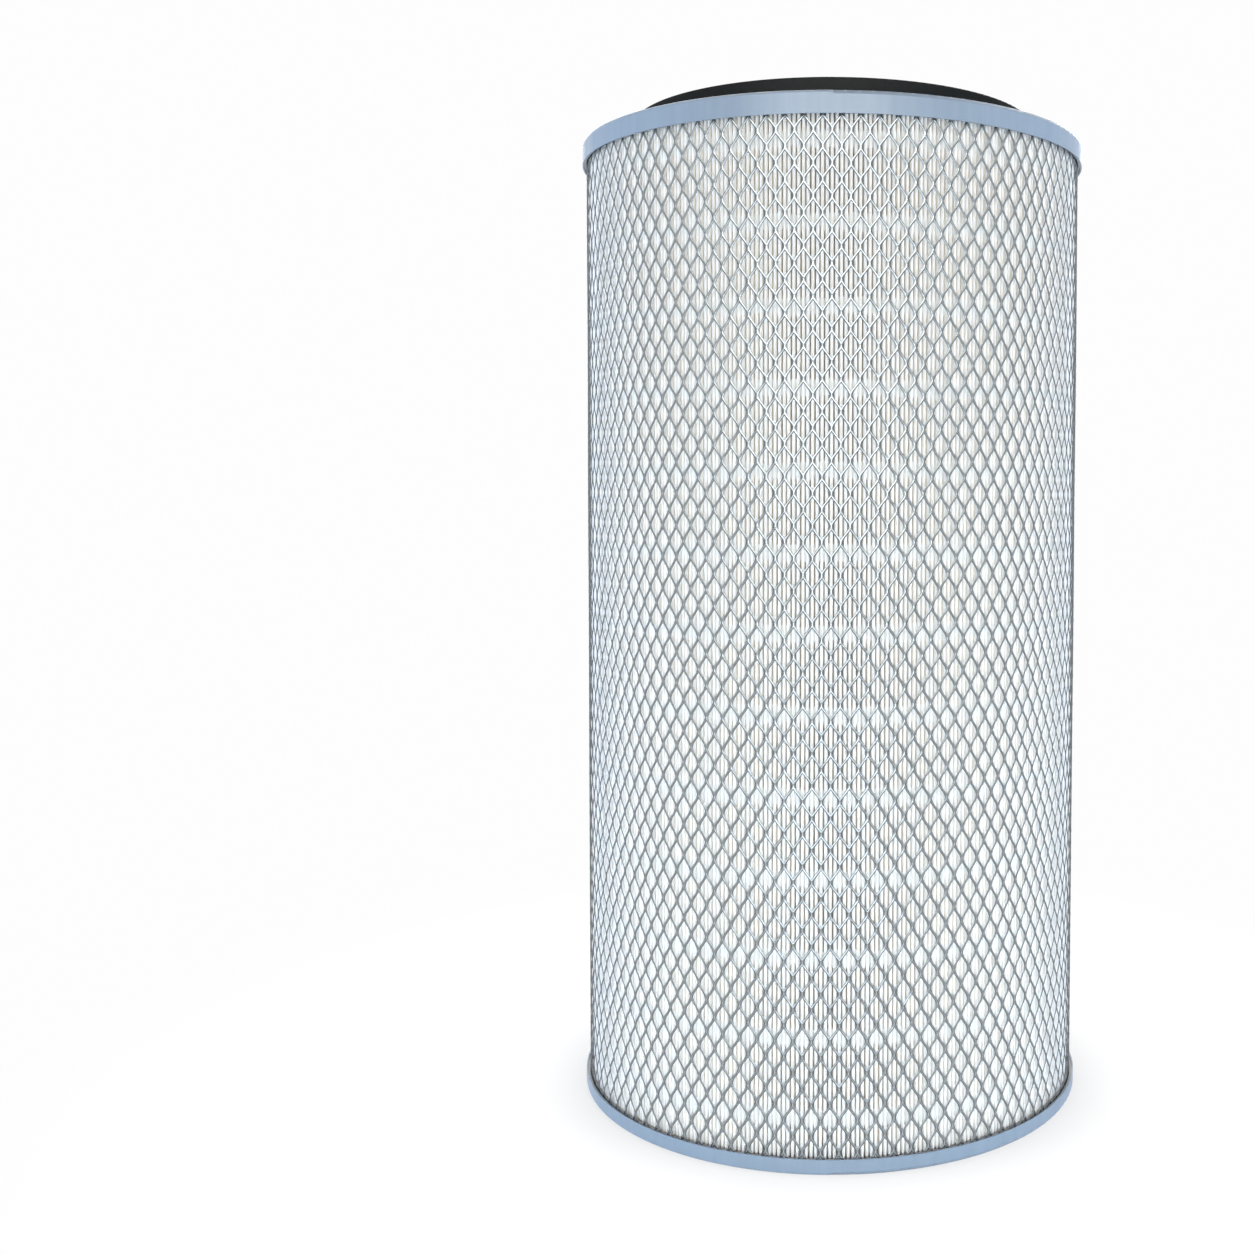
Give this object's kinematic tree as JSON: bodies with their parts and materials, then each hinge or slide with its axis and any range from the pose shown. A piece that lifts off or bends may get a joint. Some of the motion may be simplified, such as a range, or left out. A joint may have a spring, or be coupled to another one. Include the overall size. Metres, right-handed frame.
{
  "type": "filter cartridge",
  "caption": "Tall round pleated air-filter cartridge: white folded media in an expanded-steel cage, pale blue pressed end caps, black face gasket and a blind end with a centre bolt hole.",
  "frame": {"origin": "centre of the closed end's rim plane, on which the cartridge stands", "axes": "+Z along the cartridge's axis, from the closed end to the gasket at the open end"},
  "size_m": [0.352, 0.352, 0.677],
  "materials": {
    "cap_paint": "satin pale blue powder coat",
    "washer_steel": "zinc plated",
    "gasket_rubber": "matt closed-cell rubber",
    "glue": "cured contact adhesive",
    "cage_steel": "galvanised expanded metal",
    "core_steel": "galvanised expanded metal",
    "media": "matt white pleated media",
    "seam_strip": "cured seam adhesive",
    "hot_melt": "translucent hot melt",
    "potting": "cast polyurethane"
  },
  "bodies": {
    "root": {"closed_end_cap": "cap_paint", "open_end_cap": "cap_paint", "bolt_hole_washer": "washer_steel", "sealing_gasket": "gasket_rubber", "gasket_adhesive": "glue", "outer_cage": "cage_steel", "inner_core": "core_steel", "media_pack": "media", "media_seam_strip": "seam_strip", "lower_potting": "potting", "upper_potting": "potting", "hot_melt_band_01": "hot_melt", "hot_melt_band_02": "hot_melt", "hot_melt_band_03": "hot_melt", "hot_melt_band_04": "hot_melt", "hot_melt_band_05": "hot_melt", "hot_melt_band_06": "hot_melt", "hot_melt_band_07": "hot_melt", "hot_melt_band_08": "hot_melt", "hot_melt_band_09": "hot_melt", "hot_melt_band_10": "hot_melt", "hot_melt_band_11": "hot_melt", "hot_melt_band_12": "hot_melt", "hot_melt_band_13": "hot_melt"}
  },
  "joints": []
}
